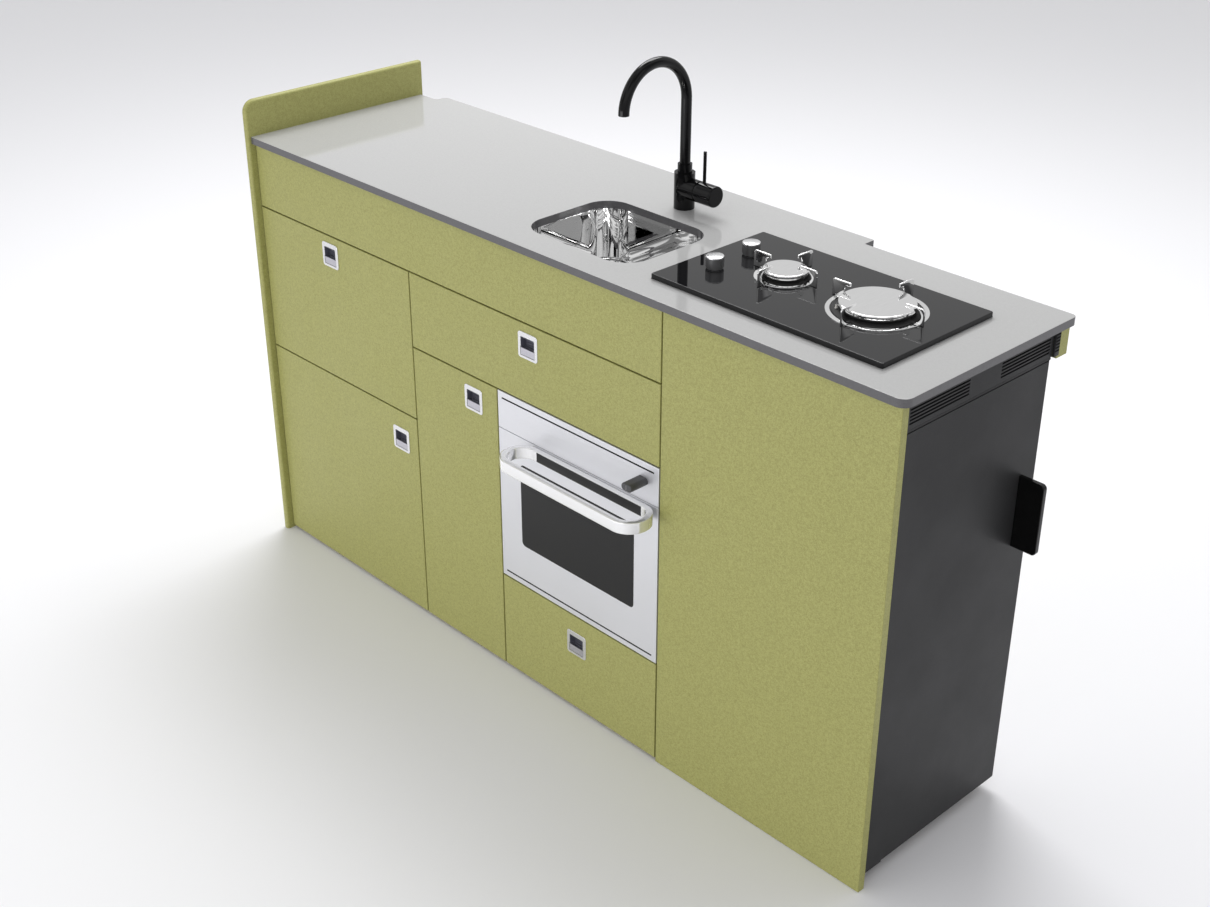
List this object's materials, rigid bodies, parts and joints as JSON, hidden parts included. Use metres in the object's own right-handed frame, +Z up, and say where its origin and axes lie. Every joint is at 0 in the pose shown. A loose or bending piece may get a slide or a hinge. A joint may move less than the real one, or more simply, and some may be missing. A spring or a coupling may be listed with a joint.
{
  "type": "campervan kitchen pod",
  "caption": "Campervan kitchen pod with drawers, doors, undermount sink, swivel tap, gas hob, gas oven and an end-opening compressor fridge.",
  "frame": {"origin": "on the floor, under the middle of the cabinet's length and depth", "axes": "+X along the front to the right, +Y from the doors to the back, +Z up"},
  "size_m": [1.665, 0.5235, 1.1825],
  "materials": {
    "green_laminate": "satin laminate with a fine speckle",
    "carcass_ply": "pale birch plywood",
    "worktop": "satin pale grey laminate with a dark grey edge",
    "polished_steel": "mirror polished",
    "brushed_steel": "brushed",
    "zinc_steel": "plain zinc plated",
    "tap_black": "satin black coated metal",
    "hob_glass": "gloss black toughened glass",
    "burner_alloy": "dark cast alloy",
    "burner_chrome": "polished",
    "valve_brass": "plain brass",
    "oven_white": "white enamel",
    "oven_case": "galvanised sheet",
    "oven_window": "dark tinted glass",
    "knob_grey": "dark grey plastic",
    "fridge_body": "pale grey liner and casing",
    "fridge_front": "charcoal satin",
    "fin_black": "gloss black",
    "compressor": "black painted",
    "latch_bezel": "satin silver",
    "latch_paddle": "satin silver"
  },
  "bodies": {
    "root": {"end_panel": "green_laminate", "base_panel": "carcass_ply", "tall_front_panel": "green_laminate", "top_fascia": "green_laminate", "dividers": "carcass_ply", "shelves_and_rails": "carcass_ply", "back_frame": "green_laminate", "worktop": "worktop", "sink_bowl": "polished_steel", "sink_waste": "polished_steel", "tap_body": "tap_black", "hob_glass": "hob_glass", "hob_tray": "zinc_steel", "gas_valves": "valve_brass", "burner_bases": "burner_alloy", "oven_case": "oven_case", "oven_fascia": "oven_white", "oven_hinge_arms": "zinc_steel", "wire_shelves": "brushed_steel", "fridge_cabinet": "fridge_body", "fridge_compressor": "compressor", "fridge_hinges": "fridge_front", "vent_panel": "fridge_front", "drawer_runners": "zinc_steel", "door_hinge_arms": "zinc_steel"},
    "upper_left_drawer": {"upper_left_drawer_front": "green_laminate", "upper_left_drawer_latch": "latch_bezel", "upper_left_drawer_box": "carcass_ply"},
    "upper_left_drawer_paddle": {"upper_left_drawer_paddle": "latch_paddle"},
    "upper_middle_drawer": {"upper_middle_drawer_front": "green_laminate", "upper_middle_drawer_latch": "latch_bezel", "upper_middle_drawer_box": "carcass_ply"},
    "upper_middle_drawer_paddle": {"upper_middle_drawer_paddle": "latch_paddle"},
    "bottom_drawer": {"bottom_drawer_front": "green_laminate", "bottom_drawer_latch": "latch_bezel", "bottom_drawer_box": "carcass_ply"},
    "bottom_drawer_paddle": {"bottom_drawer_paddle": "latch_paddle"},
    "lower_left_door": {"lower_left_door": "green_laminate", "lower_left_door_latch": "latch_bezel"},
    "lower_left_door_paddle": {"lower_left_door_paddle": "latch_paddle"},
    "narrow_door": {"narrow_door": "green_laminate", "narrow_door_latch": "latch_bezel"},
    "narrow_door_paddle": {"narrow_door_paddle": "latch_paddle"},
    "oven_door": {"oven_door": "oven_white", "oven_window": "oven_window", "oven_handle": "polished_steel"},
    "oven_knob": {"oven_knob": "knob_grey"},
    "hob_knob_small": {"hob_knob_small": "brushed_steel"},
    "hob_knob_large": {"hob_knob_large": "brushed_steel"},
    "tap_spout": {"tap_spout": "tap_black"},
    "tap_cartridge": {"tap_cartridge_stem": "valve_brass"},
    "tap_handle": {"tap_handle_cap": "tap_black", "tap_lever": "tap_black"},
    "pan_prongs_small": {"pan_prongs_small": "burner_chrome"},
    "pan_prongs_large": {"pan_prongs_large": "burner_chrome"},
    "burner_cap_small": {"burner_cap_small": "burner_chrome"},
    "burner_cap_large": {"burner_cap_large": "burner_chrome"},
    "sink_strainer": {"sink_strainer": "polished_steel"},
    "fridge_door": {"fridge_door": "fridge_front", "fridge_handle": "fin_black"}
  },
  "joints": [
    {"name": "upper_left_drawer_slide", "type": "slide", "parent": "root", "child": "upper_left_drawer", "axis": [0, 1, 0], "range_m": [-0.3, 0]},
    {"name": "upper_middle_drawer_slide", "type": "slide", "parent": "root", "child": "upper_middle_drawer", "axis": [0, 1, 0], "range_m": [-0.3, 0]},
    {"name": "bottom_drawer_slide", "type": "slide", "parent": "root", "child": "bottom_drawer", "axis": [0, 1, 0], "range_m": [-0.3, 0]},
    {"name": "lower_left_door_hinge", "type": "hinge", "parent": "root", "child": "lower_left_door", "pos_m": [-0.8, -0.2045, 0.22725], "axis": [0, 0, -1], "range_deg": [0, 90]},
    {"name": "narrow_door_hinge", "type": "hinge", "parent": "root", "child": "narrow_door", "pos_m": [-0.317, -0.2045, 0.30425], "axis": [0, 0, -1], "range_deg": [0, 95]},
    {"name": "fridge_door_hinge", "type": "hinge", "parent": "root", "child": "fridge_door", "pos_m": [0.7905, -0.173, 0.431], "axis": [0, 0, -1], "range_deg": [0, 110]},
    {"name": "oven_door_hinge", "type": "hinge", "parent": "root", "child": "oven_door", "pos_m": [0.13, -0.202, 0.2175], "axis": [1, 0, 0], "range_deg": [0, 90]},
    {"name": "oven_knob_turn", "type": "hinge", "parent": "root", "child": "oven_knob", "pos_m": [0.2975, -0.2075, 0.5655], "axis": [0, -1, 0], "range_deg": [0, 240]},
    {"name": "hob_knob_small_turn", "type": "hinge", "parent": "root", "child": "hob_knob_small", "pos_m": [0.3145, 0.02, 0.9095], "axis": [0, 0, 1], "range_deg": [0, 210]},
    {"name": "hob_knob_large_turn", "type": "hinge", "parent": "root", "child": "hob_knob_large", "pos_m": [0.3145, -0.067, 0.9095], "axis": [0, 0, 1], "range_deg": [0, 210]},
    {"name": "tap_spout_swivel", "type": "hinge", "parent": "root", "child": "tap_spout", "pos_m": [0.067, 0.118, 0.9663], "axis": [0, 0, 1], "range_deg": [-110, 110]},
    {"name": "tap_temperature", "type": "hinge", "parent": "root", "child": "tap_cartridge", "pos_m": [0.1085, 0.118, 0.938], "axis": [1, 0, 0], "range_deg": [-45, 45]},
    {"name": "tap_flow", "type": "hinge", "parent": "tap_cartridge", "child": "tap_handle", "pos_m": [0.1085, 0.118, 0.938], "axis": [0, 1, 0], "range_deg": [0, 20]},
    {"name": "upper_left_drawer_paddle_tip", "type": "hinge", "parent": "upper_left_drawer", "child": "upper_left_drawer_paddle", "pos_m": [-0.5685, -0.207, 0.6976], "axis": [1, 0, 0], "range_deg": [0, 30], "stiffness_Nm_per_rad": 0.05},
    {"name": "upper_middle_drawer_paddle_tip", "type": "hinge", "parent": "upper_middle_drawer", "child": "upper_middle_drawer_paddle", "pos_m": [0.0131, -0.207, 0.6961], "axis": [1, 0, 0], "range_deg": [0, 30], "stiffness_Nm_per_rad": 0.05},
    {"name": "bottom_drawer_paddle_tip", "type": "hinge", "parent": "bottom_drawer", "child": "bottom_drawer_paddle", "pos_m": [0.131, -0.207, 0.1341], "axis": [1, 0, 0], "range_deg": [0, 30], "stiffness_Nm_per_rad": 0.05},
    {"name": "lower_left_door_paddle_tip", "type": "hinge", "parent": "lower_left_door", "child": "lower_left_door_paddle", "pos_m": [-0.3725, -0.207, 0.3692], "axis": [1, 0, 0], "range_deg": [0, 30], "stiffness_Nm_per_rad": 0.05},
    {"name": "narrow_door_paddle_tip", "type": "hinge", "parent": "narrow_door", "child": "narrow_door_paddle", "pos_m": [-0.1419, -0.207, 0.5393], "axis": [1, 0, 0], "range_deg": [0, 30], "stiffness_Nm_per_rad": 0.05},
    {"name": "pan_prongs_small_lift", "type": "slide", "parent": "root", "child": "pan_prongs_small", "axis": [0, 0, 1], "range_m": [0, 0.06]},
    {"name": "burner_cap_small_lift", "type": "slide", "parent": "root", "child": "burner_cap_small", "axis": [0, 0, 1], "range_m": [0, 0.03]},
    {"name": "pan_prongs_large_lift", "type": "slide", "parent": "root", "child": "pan_prongs_large", "axis": [0, 0, 1], "range_m": [0, 0.06]},
    {"name": "burner_cap_large_lift", "type": "slide", "parent": "root", "child": "burner_cap_large", "axis": [0, 0, 1], "range_m": [0, 0.03]},
    {"name": "sink_strainer_lift", "type": "slide", "parent": "root", "child": "sink_strainer", "axis": [0, 0, 1], "range_m": [0, 0.08]}
  ],
  "couplings": [
    {"joint": "burner_cap_small_lift", "follows": "pan_prongs_small_lift", "ratio": 0.5},
    {"joint": "burner_cap_large_lift", "follows": "pan_prongs_large_lift", "ratio": 0.5}
  ]
}
